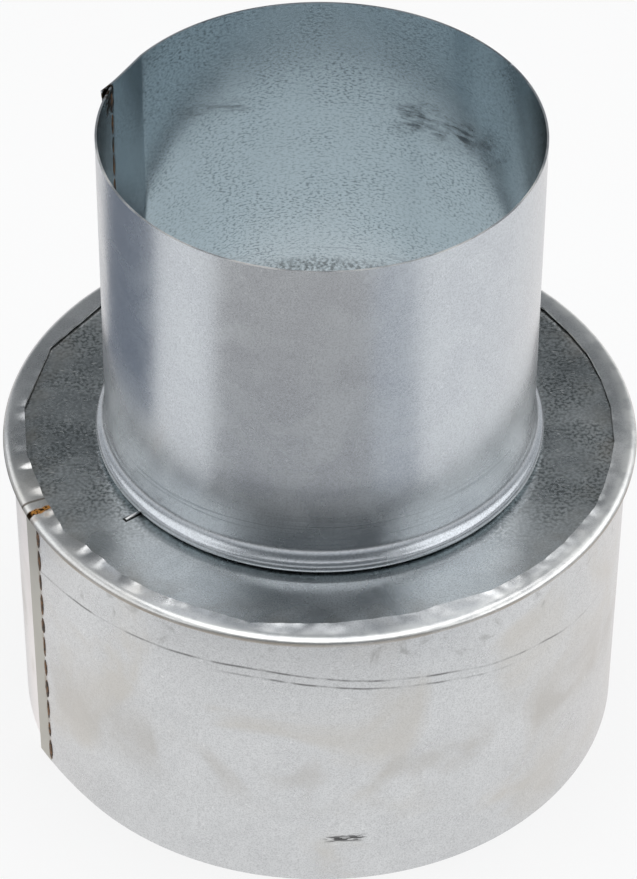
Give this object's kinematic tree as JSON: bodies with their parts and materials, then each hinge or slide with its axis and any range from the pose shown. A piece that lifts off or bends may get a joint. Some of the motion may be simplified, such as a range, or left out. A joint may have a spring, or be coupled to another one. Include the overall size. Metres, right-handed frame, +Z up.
{
  "type": "flue collar",
  "caption": "Galvanised sheet collar that steps a wide open drum up to a narrower flue tube through a ring plate held by a bead and a folded hem.",
  "frame": {"origin": "on the collar's axis, in the plane of the drum's open lower edge", "axes": "+Z up the collar's axis, from the drum to the flue tube; -Y is the side the picture is taken from, and the drum's lap seam is on the -X side"},
  "size_m": [0.1852, 0.1852, 0.204],
  "materials": {
    "tube_zinc": "galvanised, satin, fine grained",
    "plate_zinc": "galvanised, speckled, semi-bright",
    "drum_zinc": "galvanised, satin, lightly stained"
  },
  "bodies": {
    "root": {"flue_tube": "tube_zinc", "ring_plate": "plate_zinc", "drum_shell": "drum_zinc"}
  },
  "joints": []
}
